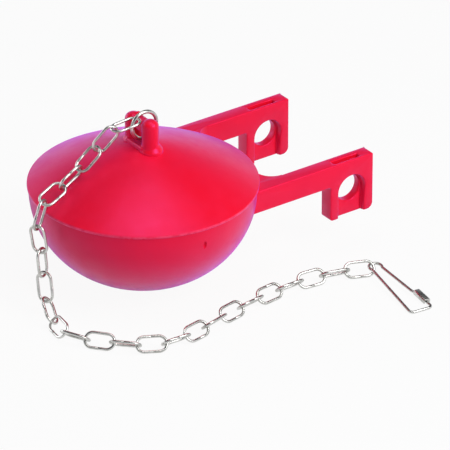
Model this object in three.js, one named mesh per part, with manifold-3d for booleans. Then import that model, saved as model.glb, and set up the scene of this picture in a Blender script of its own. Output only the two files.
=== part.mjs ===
// Toilet flapper: one soft moulding with a hollow float bulb, a shallow domed
// top, an eye and two arms with drop ears, and a steel chain that runs from a
// ring in the eye to a spring clip. Millimetres, +Z up, ears towards +Y.
// The origin is on the ground, midway along the moulding.
import * as THREE from 'three';
import { mergeVertices } from 'three/addons/utils/BufferGeometryUtils.js';
import Module from 'manifold-3d';

const wasm = await Module();
wasm.setup();

// Driving dimensions.
const clearance = 0.3;

const bulb = {
  rimRadius: 43,
  rimHeight: 38.2,
  rimBand: 1.0,
  rimLedge: 0.5,
  bowlFullness: 2.1,
  wall: 3.2,
  floor: 4.5,
  footRadius: 7.5,
  mouthRadius: 4.5,
  facets: 48,
  rows: 9,
};

const dome = {
  rise: 16.4,
  apexSlope: 0.16,
  wall: 3.2,
  rows: 7,
};

const arm = {
  centreX: 26.7,
  thickness: 6.0,
  topDrop: 1.0,
  depth: 8.9,
  rootFillet: 6.5,
  tailRound: 1.5,
};

const ear = {
  length: 19.6,
  reach: 83.9,
  drop: 23.2,
  cornerRound: 2.5,
  heelRound: 1.0,
  boreRadius: 5.2,
  boreDrop: 12.8,
  boreFromTail: 9.7,
  recessRadius: 6.2,
  recessDepth: 2.9,
  pocketLength: 12.0,
  pocketWidth: 2.4,
  pocketDepth: 4.0,
  pocketSkin: 1.1,
  pocketFromTail: 11.3,
};

const eye = {
  legSpacing: 10.8,
  legWidth: 6.4,
  depth: 5.6,
  edgeRound: 1.4,
  top: 28.3,
  saddleDrop: 2.3,
  saddleWidth: 6.0,
  saddleFlare: 1.4,
  crestRound: 1.5,
  barHeight: 3.8,
  shoulderRound: 3.2,
  padHeight: 17.7,
  padHalfDepth: 4.2,
  flareRadius: 4.4,
  flareHeight: 2.2,
};

const ring = {
  outerRadius: 6.1,
  wire: 1.5,
  offsetX: 1.0,
  hookAngle: 33,
  steps: 28,
  sides: 8,
};

const link = {
  count: 25,
  length: 12.3,
  width: 6.8,
  wire: 1.1,
  slack: 0.45,
  lean: 45,
  twist: 35,
  twistGrowth: 20,
  domeGap: 0.7,
  bendSteps: 6,
  sides: 8,
};

const clip = {
  wire: 1.1,
  eyeRadius: 2.5,
  length: 32.2,
  width: 9.0,
  cornerRadius: 1.6,
  heading: -5.5,
  returnLength: 8.0,
  catchLength: 9.0,
  catchWall: 0.5,
  catchStart: 21.5,
  strandGap: 2.3,
  sides: 8,
};

// Colours.
const red = new THREE.MeshStandardMaterial({ color: 0xd4141e, roughness: 0.45, metalness: 0 });
const steel = new THREE.MeshStandardMaterial({ color: 0xb9bcc0, roughness: 0.28, metalness: 1 });

// Closed three.js geometry into a solid, without the triangles that have no area.
function solidOf(geometry) {
  const bare = geometry.index ? geometry.toNonIndexed() : geometry.clone();
  bare.deleteAttribute('normal');
  bare.deleteAttribute('uv');
  const merged = mergeVertices(bare, 1e-4);
  const corners = merged.index.array;
  const kept = [];
  for (let i = 0; i < corners.length; i += 3) {
    const [a, b, c] = [corners[i], corners[i + 1], corners[i + 2]];
    if (a !== b && b !== c && c !== a) kept.push(a, b, c);
  }
  const mesh = new wasm.Mesh({
    numProp: 3,
    vertProperties: new Float32Array(merged.attributes.position.array),
    triVerts: new Uint32Array(kept),
  });
  return new wasm.Manifold(mesh);
}

function geometryOf(solid) {
  const mesh = solid.getMesh();
  const geometry = new THREE.BufferGeometry();
  geometry.setAttribute('position', new THREE.BufferAttribute(new Float32Array(mesh.vertProperties), 3));
  geometry.setIndex(new THREE.BufferAttribute(new Uint32Array(mesh.triVerts), 1));
  geometry.computeVertexNormals();
  return geometry;
}

function piece(name, solid, material) {
  const mesh = new THREE.Mesh(geometryOf(solid), material);
  mesh.name = name;
  return mesh;
}

// A profile of [radius, height] pairs turned about Z.
function turned(profile, facets = bulb.facets) {
  const points = profile.map(([radius, height]) => new THREE.Vector2(radius, height));
  const geometry = new THREE.LatheGeometry(points, facets);
  geometry.rotateX(Math.PI / 2);
  return solidOf(geometry);
}

// A flat outline drawn in the plane of two axes and pushed along the third.
function pushed(shape, { along, from, depth, round = 0, steps = 6 }) {
  const geometry = new THREE.ExtrudeGeometry(shape, {
    depth: depth - 2 * round,
    bevelEnabled: round > 0,
    bevelThickness: round,
    bevelSize: round,
    bevelOffset: -round,
    bevelSegments: 3,
    curveSegments: steps,
  });
  geometry.translate(0, 0, round);
  const basis = new THREE.Matrix4();
  if (along === 'x') basis.makeBasis(new THREE.Vector3(0, 1, 0), new THREE.Vector3(0, 0, 1), new THREE.Vector3(1, 0, 0));
  if (along === 'y') basis.makeBasis(new THREE.Vector3(-1, 0, 0), new THREE.Vector3(0, 0, 1), new THREE.Vector3(0, 1, 0));
  geometry.applyMatrix4(basis);
  const shift = { x: [from, 0, 0], y: [0, from, 0], z: [0, 0, from] }[along];
  geometry.translate(...shift);
  return solidOf(geometry);
}

function roundedOutline(points) {
  // points: [x, y, radius]; each corner is rounded by its own radius.
  const shape = new THREE.Shape();
  const count = points.length;
  points.forEach(([x, y, radius], i) => {
    const [px, py] = points[(i + count - 1) % count];
    const [nx, ny] = points[(i + 1) % count];
    const back = new THREE.Vector2(px - x, py - y).normalize();
    const ahead = new THREE.Vector2(nx - x, ny - y).normalize();
    const half = Math.acos(THREE.MathUtils.clamp(back.dot(ahead), -1, 1)) / 2;
    const run = radius > 0 ? radius / Math.tan(half) : 0;
    const start = new THREE.Vector2(x, y).addScaledVector(back, run);
    const end = new THREE.Vector2(x, y).addScaledVector(ahead, run);
    if (i === 0) shape.moveTo(start.x, start.y);
    else shape.lineTo(start.x, start.y);
    if (radius > 0) {
      const centre = back.clone().add(ahead).normalize().multiplyScalar(radius / Math.sin(half));
      const cx = x + centre.x;
      const cy = y + centre.y;
      const a0 = Math.atan2(start.y - cy, start.x - cx);
      const a1 = Math.atan2(end.y - cy, end.x - cx);
      const turn = back.x * ahead.y - back.y * ahead.x;
      shape.absarc(cx, cy, radius, a0, a1, turn > 0);
    }
  });
  shape.closePath();
  return shape;
}

// Float bulb.
const bowlRadius = bulb.rimRadius - bulb.rimLedge;
const bandLow = bulb.rimHeight - bulb.rimBand / 2;
const bandHigh = bulb.rimHeight + bulb.rimBand / 2;

// A bowl curve from the foot up to the rim: radius against height, with the given fullness.
function bowlCurve(topRadius, lowRadius, topHeight, lowHeight) {
  const share = (lowRadius / topRadius) ** bulb.bowlFullness;
  const fullDepth = (topHeight - lowHeight) / (1 - share) ** (1 / bulb.bowlFullness);
  const lowAngle = Math.acos(((topHeight - lowHeight) / fullDepth) ** (bulb.bowlFullness / 2));
  const curve = [];
  for (let i = 0; i <= bulb.rows; i += 1) {
    const angle = lowAngle + (Math.PI / 2 - lowAngle) * (i / bulb.rows);
    const radius = topRadius * Math.sin(angle) ** (2 / bulb.bowlFullness);
    const height = topHeight - fullDepth * Math.cos(angle) ** (2 / bulb.bowlFullness);
    curve.push([radius, height]);
  }
  return curve;
}

// Height of the dome's outside above the ground at a radius: steeper towards the rim.
function domeHeight(radius) {
  const bend = (dome.rise - dome.apexSlope * bulb.rimRadius) / bulb.rimRadius ** 2;
  return bandHigh + dome.rise - dome.apexSlope * radius - bend * radius ** 2;
}

function domeSlope(radius) {
  const bend = (dome.rise - dome.apexSlope * bulb.rimRadius) / bulb.rimRadius ** 2;
  return dome.apexSlope + 2 * bend * radius;
}

function domeCurve(rimRadius, drop) {
  const curve = [];
  for (let i = 0; i <= dome.rows; i += 1) {
    const radius = rimRadius * (1 - i / dome.rows);
    curve.push([radius, domeHeight(radius) - drop]);
  }
  return curve;
}

function bulbOutside() {
  const bowl = bowlCurve(bowlRadius, bulb.footRadius, bandLow, 0);
  return turned([[0, 0], ...bowl, [bulb.rimRadius, bandLow], ...domeCurve(bulb.rimRadius, 0)]);
}

function bulbInside() {
  const radius = bowlRadius - bulb.wall;
  const bowl = bowlCurve(radius, bulb.mouthRadius, bandLow, bulb.floor);
  const roofDrop = dome.wall * Math.hypot(1, domeSlope(radius));
  return turned([[0, bulb.floor], ...bowl, ...domeCurve(radius, roofDrop)]);
}

function mouth() {
  const reach = bulb.floor + bulb.wall;
  return turned([[0, -1], [bulb.mouthRadius, -1], [bulb.mouthRadius, reach], [0, reach]], 24);
}

// Arms and ears.
const armTop = bulb.rimHeight - arm.topDrop;
const armLow = armTop - arm.depth;
const earLow = armTop - ear.drop;
const earFront = ear.reach - ear.length;
const boreY = ear.reach - ear.boreFromTail;
const boreZ = armTop - ear.boreDrop;

function armAndEar(side) {
  const start = bowlRadius * 0.5;
  const outline = roundedOutline([
    [start, armTop, 0],
    [start, armLow, 0],
    [earFront, armLow, ear.heelRound],
    [earFront, earLow, ear.cornerRound],
    [ear.reach, earLow, ear.cornerRound],
    [ear.reach, armTop, arm.tailRound],
  ]);
  const from = side * arm.centreX - arm.thickness / 2;
  return pushed(outline, { along: 'x', from, depth: arm.thickness });
}

// The curved crotch between an arm and the bulb, seen from above.
function rootFillet(side) {
  const face = arm.centreX - arm.thickness / 2;
  const cx = face - arm.rootFillet;
  const cy = Math.sqrt((bowlRadius + arm.rootFillet) ** 2 - cx ** 2);
  const toBulb = Math.atan2(-cy, -cx);
  const shape = new THREE.Shape();
  const overlap = arm.thickness / 2;
  shape.moveTo(face + overlap, cy);
  shape.lineTo(face, cy);
  shape.absarc(cx, cy, arm.rootFillet, 0, toBulb, true);
  shape.lineTo(cx * 0.7, cy * 0.7);
  shape.lineTo(face + overlap, cy * 0.7);
  shape.closePath();
  const solid = pushed(shape, { along: 'z', from: armLow, depth: arm.depth });
  return side > 0 ? solid : solid.mirror([1, 0, 0]);
}

function pegBore(side) {
  const shape = new THREE.Shape();
  shape.absarc(boreY, boreZ, ear.boreRadius, 0, Math.PI * 2);
  const from = side * arm.centreX - arm.thickness;
  return pushed(shape, { along: 'x', from, depth: arm.thickness * 2, steps: 14 });
}

// The arched recess round the bore, open at the ear's lower edge, on the face towards +X.
function earRecess(side) {
  const face = side * arm.centreX + arm.thickness / 2;
  const shape = new THREE.Shape();
  shape.moveTo(boreY + ear.recessRadius, boreZ);
  shape.absarc(boreY, boreZ, ear.recessRadius, 0, Math.PI);
  shape.lineTo(boreY - ear.recessRadius, earLow - 1);
  shape.lineTo(boreY + ear.recessRadius, earLow - 1);
  shape.closePath();
  return pushed(shape, { along: 'x', from: face - ear.recessDepth, depth: ear.recessDepth + 1, steps: 12 });
}

function earPocket(side) {
  const face = side * arm.centreX + arm.thickness / 2 - ear.pocketSkin;
  const y = ear.reach - ear.pocketFromTail;
  const round = ear.pocketWidth / 4;
  const outline = roundedOutline([
    [face - ear.pocketWidth, y - ear.pocketLength / 2, round],
    [face, y - ear.pocketLength / 2, round],
    [face, y + ear.pocketLength / 2, round],
    [face - ear.pocketWidth, y + ear.pocketLength / 2, round],
  ]);
  return pushed(outline, { along: 'z', from: armTop - ear.pocketDepth, depth: ear.pocketDepth + 1, steps: 3 });
}

// Eye on the dome.
const eyeTop = bulb.rimHeight + eye.top;
const padTop = bulb.rimHeight + eye.padHeight;
const barTop = eyeTop - eye.saddleDrop;
const barLow = barTop - eye.barHeight;

function eyeArch() {
  const half = (eye.legSpacing + eye.legWidth) / 2;
  const base = padTop - 4 * eye.edgeRound;
  const saddle = eye.saddleWidth / 2;
  const outline = roundedOutline([
    [-half, base, 0],
    [half, base, 0],
    [half, eyeTop, eye.shoulderRound],
    [saddle + eye.saddleFlare, eyeTop, eye.crestRound],
    [saddle, barTop, 0],
    [-saddle, barTop, 0],
    [-saddle - eye.saddleFlare, eyeTop, eye.crestRound],
    [-half, eyeTop, eye.shoulderRound],
  ]);
  const gap = (eye.legSpacing - eye.legWidth) / 2;
  const window = new THREE.Path();
  window.moveTo(-gap, padTop - eye.edgeRound);
  window.lineTo(-gap, barLow - gap / 2);
  window.absarc(-gap / 2, barLow - gap / 2, gap / 2, Math.PI, Math.PI / 2, true);
  window.absarc(gap / 2, barLow - gap / 2, gap / 2, Math.PI / 2, 0, true);
  window.lineTo(gap, padTop - eye.edgeRound);
  window.closePath();
  outline.holes.push(window);
  return pushed(outline, { along: 'y', from: -eye.depth / 2, depth: eye.depth, round: eye.edgeRound, steps: 5 });
}

function eyePad() {
  const half = eye.legSpacing / 2;
  const outline = roundedOutline([
    [-half, -eye.padHalfDepth, 1],
    [half, -eye.padHalfDepth, 1],
    [half, eye.padHalfDepth, 1],
    [-half, eye.padHalfDepth, 1],
  ]);
  const low = domeHeight(half) - dome.wall / 2;
  return pushed(outline, { along: 'z', from: low, depth: padTop - low, steps: 3 });
}

function legFlare(side) {
  const half = eye.legSpacing / 2;
  const low = domeHeight(half + eye.flareRadius) - 0.4;
  const rise = domeHeight(half) + eye.flareHeight - low;
  const solid = turned([[0, 0], [eye.flareRadius, 0], [eye.flareRadius - 0.5, rise * 0.55],
    [eye.legWidth / 2 - 0.2, rise], [0, rise]], 16);
  return solid.translate([side * half, 0, low]);
}

function flapperBody() {
  let body = bulbOutside();
  for (const side of [-1, 1]) {
    body = body.add(armAndEar(side)).add(rootFillet(side)).add(legFlare(side));
  }
  body = body.add(eyePad()).add(eyeArch()).subtract(bulbInside()).subtract(mouth());
  for (const side of [-1, 1]) {
    body = body.subtract(pegBore(side)).subtract(earRecess(side)).subtract(earPocket(side));
  }
  return body;
}

// Wire bent along a closed or open curve.
function bentWire(curve, wire, steps, sides) {
  const section = new THREE.Shape();
  for (let i = 0; i < sides; i += 1) {
    const angle = ((i + 0.5) / sides) * Math.PI * 2;
    const [x, y] = [Math.cos(angle) * wire / 2, Math.sin(angle) * wire / 2];
    if (i === 0) section.moveTo(x, y);
    else section.lineTo(x, y);
  }
  section.closePath();
  return new THREE.ExtrudeGeometry(section, { steps, extrudePath: curve, bevelEnabled: false });
}

// A closed loop of wire: rings of section points round a closed centre line in the XY plane.
function wireLoop(centreLine, wire, sides) {
  const count = centreLine.length;
  const positions = [];
  const index = [];
  centreLine.forEach(([x, y, nx, ny]) => {
    for (let j = 0; j < sides; j += 1) {
      const angle = ((j + 0.5) / sides) * Math.PI * 2;
      const out = Math.cos(angle) * wire / 2;
      positions.push(x + nx * out, y + ny * out, Math.sin(angle) * wire / 2);
    }
  });
  for (let i = 0; i < count; i += 1) {
    const next = (i + 1) % count;
    for (let j = 0; j < sides; j += 1) {
      const beside = (j + 1) % sides;
      const [a, b, c, d] = [i * sides + j, next * sides + j, next * sides + beside, i * sides + beside];
      index.push(a, b, c, a, c, d);
    }
  }
  const geometry = new THREE.BufferGeometry();
  geometry.setAttribute('position', new THREE.Float32BufferAttribute(positions, 3));
  geometry.setIndex(index);
  return solidOf(geometry);
}

function chainRing() {
  const radius = ring.outerRadius - ring.wire / 2;
  const line = [];
  for (let i = 0; i < ring.steps; i += 1) {
    const angle = (i / ring.steps) * Math.PI * 2;
    line.push([radius * Math.cos(angle), radius * Math.sin(angle), Math.cos(angle), Math.sin(angle)]);
  }
  return wireLoop(line, ring.wire, ring.sides);
}

// One oblong link, long along X and flat in the XY plane, centred on the origin.
function oblongLink() {
  const bend = (link.width - link.wire) / 2;
  const straight = (link.length - link.width) / 2;
  const line = [];
  for (const end of [1, -1]) {
    for (let i = 0; i <= link.bendSteps; i += 1) {
      const angle = (end > 0 ? -Math.PI / 2 : Math.PI / 2) + (i / link.bendSteps) * Math.PI;
      const [nx, ny] = [Math.cos(angle), Math.sin(angle)];
      line.push([end * straight + bend * nx, bend * ny, nx, ny]);
    }
  }
  return wireLoop(line, link.wire, link.sides);
}

// Where the chain runs.
const ringCentre = new THREE.Vector3(ring.offsetX, 0, padTop + clearance + ring.outerRadius);
const pitch = link.length - 2 * link.wire - link.slack;
const leanReach = ((link.width - link.wire) / 2) * Math.sin(THREE.MathUtils.degToRad(link.lean));
const lieHeight = leanReach + link.wire / 2 + clearance;

// Places on the chain's centre line: over the dome, beside the rim and on the ground.
function onDome(x, y) {
  const radius = Math.hypot(x, y);
  const slope = domeSlope(radius);
  const normal = new THREE.Vector3((x / radius) * slope, (y / radius) * slope, 1).normalize();
  return new THREE.Vector3(x, y, domeHeight(radius)).addScaledVector(normal, lieHeight + link.domeGap);
}

function besideRim(x, above, gap) {
  return new THREE.Vector3(x, -(bulb.rimRadius + gap), bulb.rimHeight + above);
}

function onGround(x, y) {
  return new THREE.Vector3(x, y, lieHeight);
}

function fromHook(x, y, z) {
  return hook.clone().add(new THREE.Vector3(x, y, z));
}

const hookAngle = THREE.MathUtils.degToRad(ring.hookAngle);
const ringWireRadius = ring.outerRadius - ring.wire / 2;
const hookInset = ((ring.wire + link.wire) / 2 + link.slack) / Math.cos(hookAngle) - (link.wire + link.slack) / 2;
const hook = ringCentre.clone().add(new THREE.Vector3(
  0, hookInset - Math.cos(hookAngle) * ringWireRadius, Math.sin(hookAngle) * ringWireRadius));

const route = [
  hook,
  fromHook(-0.8, -8.4, -0.6),
  fromHook(-2.8, -14.0, -6.6),
  onDome(-2.0, -25.0),
  onDome(-1.0, -34.0),
  besideRim(0.4, 5.6, 1.4),
  besideRim(1.8, -2.5, 5.6),
  besideRim(3.2, -15, 4.4),
  besideRim(4.2, -26, 4.2),
  besideRim(7.8, -32.8, 5.4),
  onGround(13, -50.0),
  onGround(21, -52.5),
  onGround(29, -50.5),
  onGround(37, -45),
  onGround(44, -38.5),
  onGround(50, -32),
  onGround(52.3, -24),
  onGround(52, -15),
  onGround(49.8, -5),
  onGround(47.6, 4),
  onGround(45.8, 14),
  onGround(44.5, 24),
  onGround(43.6, 34),
  onGround(44.1, 44),
  onGround(45.5, 54),
  onGround(49.5, 64.5),
  onGround(58, 84),
];

// Joints stand one pitch apart along the route, so every link is the same length.
function chainJoints() {
  const curve = new THREE.CatmullRomCurve3(route, false, 'centripetal');
  const samples = curve.getPoints(route.length * 120);
  const joints = [samples[0].clone()];
  for (let i = 1; i < samples.length && joints.length <= link.count; i += 1) {
    const last = joints[joints.length - 1];
    if (samples[i].distanceTo(last) >= pitch) {
      const before = samples[i - 1];
      const gapBefore = pitch - before.distanceTo(last);
      const step = samples[i].distanceTo(before);
      joints.push(before.clone().lerp(samples[i], Math.min(1, gapBefore / step)));
    }
  }
  return joints;
}

// Each link is a quarter turn from the one before, about a side direction carried along the chain.
function chain() {
  const group = new THREE.Group();
  const joints = chainJoints();
  const solid = oblongLink();
  let outward = new THREE.Vector3(0, 0, 1);
  for (let number = 0; number < link.count; number += 1) {
    const [from, to] = [joints[number], joints[number + 1]];
    const ahead = to.clone().sub(from).normalize();
    const side = new THREE.Vector3().crossVectors(ahead, outward).normalize();
    outward = new THREE.Vector3().crossVectors(side, ahead);
    const twist = Math.min(link.twist, link.twistGrowth * Math.max(0, number - 1));
    const roll = THREE.MathUtils.degToRad(twist + (number % 2 ? 90 : 0));
    const across = side.multiplyScalar(Math.cos(roll)).addScaledVector(outward, Math.sin(roll));
    const normal = new THREE.Vector3().crossVectors(ahead, across);
    const mesh = piece(`chain_link_${String(number + 1).padStart(2, '0')}`, solid, steel);
    mesh.quaternion.setFromRotationMatrix(new THREE.Matrix4().makeBasis(ahead, across, normal));
    mesh.position.copy(from).lerp(to, 0.5);
    group.add(mesh);
  }
  return { group, end: joints[link.count], before: joints[link.count - 1] };
}

// Spring clip: one bent wire lying flat, its catch folded over the end of the wire.
// Drawn with the eye's centre at the origin and the clip running along +X.
function clipWire() {
  const half = clip.width / 2;
  const corner = clip.cornerRadius;
  const eyeTurn = new THREE.Path();
  eyeTurn.moveTo(clip.length - clip.returnLength, half);
  eyeTurn.lineTo(clip.length - corner, half);
  eyeTurn.absarc(clip.length - corner, half - corner, corner, Math.PI / 2, 0, true);
  eyeTurn.lineTo(clip.length, -half + corner);
  eyeTurn.absarc(clip.length - corner, -half + corner, corner, 0, -Math.PI / 2, true);
  const leave = THREE.MathUtils.degToRad(-62);
  const arrive = THREE.MathUtils.degToRad(62);
  eyeTurn.lineTo(clip.eyeRadius * Math.cos(leave), clip.eyeRadius * Math.sin(leave));
  eyeTurn.absarc(0, 0, clip.eyeRadius, leave, arrive, true);
  eyeTurn.lineTo(clip.catchStart - 2, half - clip.strandGap / 2);
  eyeTurn.lineTo(clip.catchStart + clip.catchWall, half);
  const flat = eyeTurn.getPoints(8);
  const line = new THREE.CurvePath();
  for (let i = 1; i < flat.length; i += 1) {
    if (flat[i].distanceTo(flat[i - 1]) < 1e-6) continue;
    line.add(new THREE.LineCurve3(
      new THREE.Vector3(flat[i - 1].x, flat[i - 1].y, 0),
      new THREE.Vector3(flat[i].x, flat[i].y, 0)));
  }
  return solidOf(bentWire(line, clip.wire, 90, clip.sides));
}

function clipCatch() {
  const inner = clip.wire / 2 + clearance;
  const outer = inner + clip.catchWall;
  const shape = new THREE.Shape();
  shape.moveTo(-outer, -clip.wire / 2 + 0.1);
  shape.lineTo(-outer, outer);
  shape.lineTo(outer, outer);
  shape.lineTo(outer, -clip.wire / 2 + 0.1);
  shape.lineTo(inner, -clip.wire / 2 + 0.1);
  shape.lineTo(inner, inner);
  shape.lineTo(-inner, inner);
  shape.lineTo(-inner, -clip.wire / 2 + 0.1);
  shape.closePath();
  const channel = pushed(shape, { along: 'x', from: clip.catchStart, depth: clip.catchLength });
  const web = new THREE.Shape();
  web.moveTo(-outer, -clip.wire / 2 + 0.1);
  web.lineTo(-outer, outer);
  web.lineTo(outer, outer);
  web.lineTo(outer, -clip.wire / 2 + 0.1);
  web.closePath();
  const end = pushed(web, { along: 'x', from: clip.catchStart, depth: clip.catchWall });
  return channel.add(end).translate([0, clip.width / 2, 0]);
}

function springClip(end, before) {
  const solid = clipWire().add(clipCatch());
  const mesh = piece('spring_clip', solid, steel);
  const heading = THREE.MathUtils.degToRad(clip.heading);
  const inset = clip.eyeRadius - (clip.wire + link.slack) / 2;
  const reach = end.clone().sub(before).setZ(0).normalize().multiplyScalar(inset);
  mesh.position.set(end.x + reach.x, end.y + reach.y, end.z);
  const tilt = Math.asin((end.z - clip.wire / 2) / clip.length);
  mesh.rotation.set(0, tilt, heading, 'ZYX');
  return mesh;
}

// Everything is drawn about the bulb's axis, then moved so that the moulding is centred on the origin.
const flapper = new THREE.Group();
flapper.name = 'toilet_flapper';
flapper.position.y = (bulb.rimRadius - ear.reach) / 2;
flapper.add(piece('flapper_body', flapperBody(), red));

const ringMesh = piece('chain_ring', chainRing(), steel);
ringMesh.rotation.y = Math.PI / 2;
ringMesh.position.copy(ringCentre);
flapper.add(ringMesh);

const { group: links, end: chainEnd, before: chainBefore } = chain();
flapper.add(links);
flapper.add(springClip(chainEnd, chainBefore));

export default flapper;
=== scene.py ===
"""A red toilet flapper with its chain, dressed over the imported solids.

The moulding, the ring, the links and the clip are modelled here with finer
edges than the solids have, on the same sizes and in the same places.
"""

from __future__ import annotations

import logging
import math
from collections.abc import Callable, Iterator
from contextlib import contextmanager
from dataclasses import dataclass, field
from enum import Enum
from typing import Any

import bmesh
import bpy
import numpy as np
from mathutils import Matrix, Vector


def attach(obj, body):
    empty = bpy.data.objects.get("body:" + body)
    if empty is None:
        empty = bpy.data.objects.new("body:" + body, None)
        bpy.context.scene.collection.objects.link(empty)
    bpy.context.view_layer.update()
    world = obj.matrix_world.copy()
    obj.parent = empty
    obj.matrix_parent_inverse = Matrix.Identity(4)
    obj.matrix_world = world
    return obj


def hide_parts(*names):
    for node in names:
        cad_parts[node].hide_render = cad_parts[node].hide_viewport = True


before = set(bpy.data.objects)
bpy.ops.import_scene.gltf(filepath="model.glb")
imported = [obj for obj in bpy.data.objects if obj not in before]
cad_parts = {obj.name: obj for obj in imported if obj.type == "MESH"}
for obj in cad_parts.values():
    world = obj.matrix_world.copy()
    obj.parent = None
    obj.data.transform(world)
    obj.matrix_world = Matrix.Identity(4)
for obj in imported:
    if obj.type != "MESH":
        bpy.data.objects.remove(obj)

LOG = logging.getLogger("flapper")
MM = 0.001
RUBBER_EDGE = 32
WIRE_EDGE = 40


class Grip(Enum):
    """What is taken hold of in edit mode."""

    VERTICES = "VERT"
    EDGES = "EDGE"
    FACES = "FACE"


class Join(Enum):
    """How a second solid changes the first."""

    ADD = "UNION"
    CUT = "DIFFERENCE"


class Side(Enum):
    """Which of the two arms, by the sign of its place along X."""

    NEAR = 1
    FAR = -1


def alone(piece: bpy.types.Object) -> None:
    """Selects one piece and makes it the active one."""
    bpy.ops.object.select_all(action="DESELECT")
    piece.select_set(True)
    bpy.context.view_layer.objects.active = piece


@contextmanager
def editing(piece: bpy.types.Object) -> Iterator[None]:
    """Opens a piece in edit mode and closes it again."""
    alone(piece)
    bpy.ops.object.mode_set(mode="EDIT")
    yield
    bpy.ops.object.mode_set(mode="OBJECT")


def grip(piece: bpy.types.Object, kind: Grip, holds: Callable[[Any], bool]) -> None:
    """Selects, in edit mode, what a test holds for.

    Args:
        piece: The piece that is open in edit mode.
        kind: Vertices, edges or faces.
        holds: Takes one of them and says whether it is wanted.
    """
    bpy.ops.mesh.select_mode(type=kind.value)
    bpy.ops.mesh.select_all(action="DESELECT")
    mesh = bmesh.from_edit_mesh(piece.data)
    parts = {Grip.VERTICES: mesh.verts, Grip.EDGES: mesh.edges, Grip.FACES: mesh.faces}
    for part in parts[kind]:
        if holds(part):
            part.select_set(True)
    mesh.select_flush_mode()
    bmesh.update_edit_mesh(piece.data)


def cube(name: str, low: tuple, high: tuple) -> bpy.types.Object:
    """Adds a block between two corners.

    Args:
        name: The block's name.
        low: Its lowest corner in millimetres.
        high: Its highest corner in millimetres.

    Returns:
        The block, with its object at the origin.
    """
    bpy.ops.object.select_all(action="DESELECT")
    bpy.ops.mesh.primitive_cube_add(size=1)
    block = bpy.context.object
    block.name = name
    size = Vector(high) - Vector(low)
    centre = (Vector(high) + Vector(low)) / 2
    with editing(block):
        bpy.ops.mesh.select_all(action="SELECT")
        bpy.ops.transform.resize(value=size)
        bpy.ops.transform.translate(value=centre)
    return block


def rod(name: str, radius: float, ends: tuple, centre: tuple, sides: int = 64) -> bpy.types.Object:
    """Adds a round rod along X.

    Args:
        name: The rod's name.
        radius: Its radius in millimetres.
        ends: Where it starts and stops along X.
        centre: Its place along Y and Z.
        sides: How many flats its round has.

    Returns:
        The rod, with its object at the origin.
    """
    bpy.ops.object.select_all(action="DESELECT")
    bpy.ops.mesh.primitive_cylinder_add(
        vertices=sides, radius=radius, depth=ends[1] - ends[0], rotation=(0, math.pi / 2, 0)
    )
    piece = bpy.context.object
    piece.name = name
    turn = piece.matrix_world.copy()
    piece.matrix_world = Matrix.Identity(4)
    shift = Matrix.Translation(((ends[0] + ends[1]) / 2, centre[0], centre[1]))
    piece.data.transform(shift @ turn)
    return piece


def turned(name: str, profile: list, steps: int = 144) -> bpy.types.Object:
    """Draws a profile point by point and spins it about Z.

    Args:
        name: The new piece's name.
        profile: Pairs of radius and height in millimetres, both ends on the axis.
        steps: How many slices the round has.

    Returns:
        The closed round piece.
    """
    bpy.ops.object.select_all(action="DESELECT")
    bpy.ops.mesh.primitive_plane_add(size=1)
    piece = bpy.context.object
    piece.name = name
    with editing(piece):
        bpy.ops.mesh.select_mode(type=Grip.VERTICES.value)
        bpy.ops.mesh.select_all(action="SELECT")
        bpy.ops.mesh.merge(type="CENTER")
        bpy.ops.transform.translate(value=(profile[0][0], 0, profile[0][1]))
        for before, after in zip(profile, profile[1:], strict=False):
            step = (after[0] - before[0], 0, after[1] - before[1])
            bpy.ops.mesh.extrude_region_move(TRANSFORM_OT_translate={"value": step})
        bpy.ops.mesh.select_all(action="SELECT")
        bpy.ops.mesh.spin(
            steps=steps, angle=2 * math.pi, center=(0, 0, 0), axis=(0, 0, 1), use_auto_merge=True
        )
        bpy.ops.mesh.select_all(action="SELECT")
        bpy.ops.mesh.remove_doubles(threshold=1e-3)
        bpy.ops.mesh.normals_make_consistent(inside=False)
    return piece


def combine(piece: bpy.types.Object, tool: bpy.types.Object, how: Join) -> None:
    """Adds a second solid to the first, or cuts it out, and uses it up."""
    modifier = piece.modifiers.new("combine", "BOOLEAN")
    modifier.operation = how.value
    modifier.solver = "EXACT"
    modifier.object = tool
    alone(piece)
    bpy.ops.object.modifier_apply(modifier=modifier.name)
    bpy.data.objects.remove(tool, do_unlink=True)


def soften(piece: bpy.types.Object, radius: float, segments: int = 3, angle: float = 30) -> None:
    """Rounds every edge that is sharper than an angle.

    Args:
        piece: The solid whose edges are rounded.
        radius: How far the round reaches, in millimetres.
        segments: How many facets the round has.
        angle: The least angle, in degrees, that counts as an edge.
    """
    modifier = piece.modifiers.new("soften", "BEVEL")
    modifier.width = radius
    modifier.segments = segments
    modifier.limit_method = "ANGLE"
    modifier.angle_limit = math.radians(angle)
    modifier.use_clamp_overlap = False
    alone(piece)
    bpy.ops.object.modifier_apply(modifier=modifier.name)


def fuse(piece: bpy.types.Object, voxel: float, passes: int) -> None:
    """Runs overlapping shells into one skin and smooths it.

    Args:
        piece: The piece that holds the shells.
        voxel: The skin's mesh size in millimetres.
        passes: How often the skin is smoothed.
    """
    remesh = piece.modifiers.new("skin", "REMESH")
    remesh.mode = "VOXEL"
    remesh.voxel_size = voxel
    smooth = piece.modifiers.new("smooth", "SMOOTH")
    smooth.factor = 0.5
    smooth.iterations = passes
    alone(piece)
    bpy.ops.object.modifier_apply(modifier=remesh.name)
    bpy.ops.object.modifier_apply(modifier=smooth.name)


def smooth(piece: bpy.types.Object, angle: float) -> None:
    """Shades a piece smoothly, but for edges that are sharper than an angle in degrees."""
    alone(piece)
    bpy.ops.object.shade_smooth_by_angle(angle=math.radians(angle))


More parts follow.
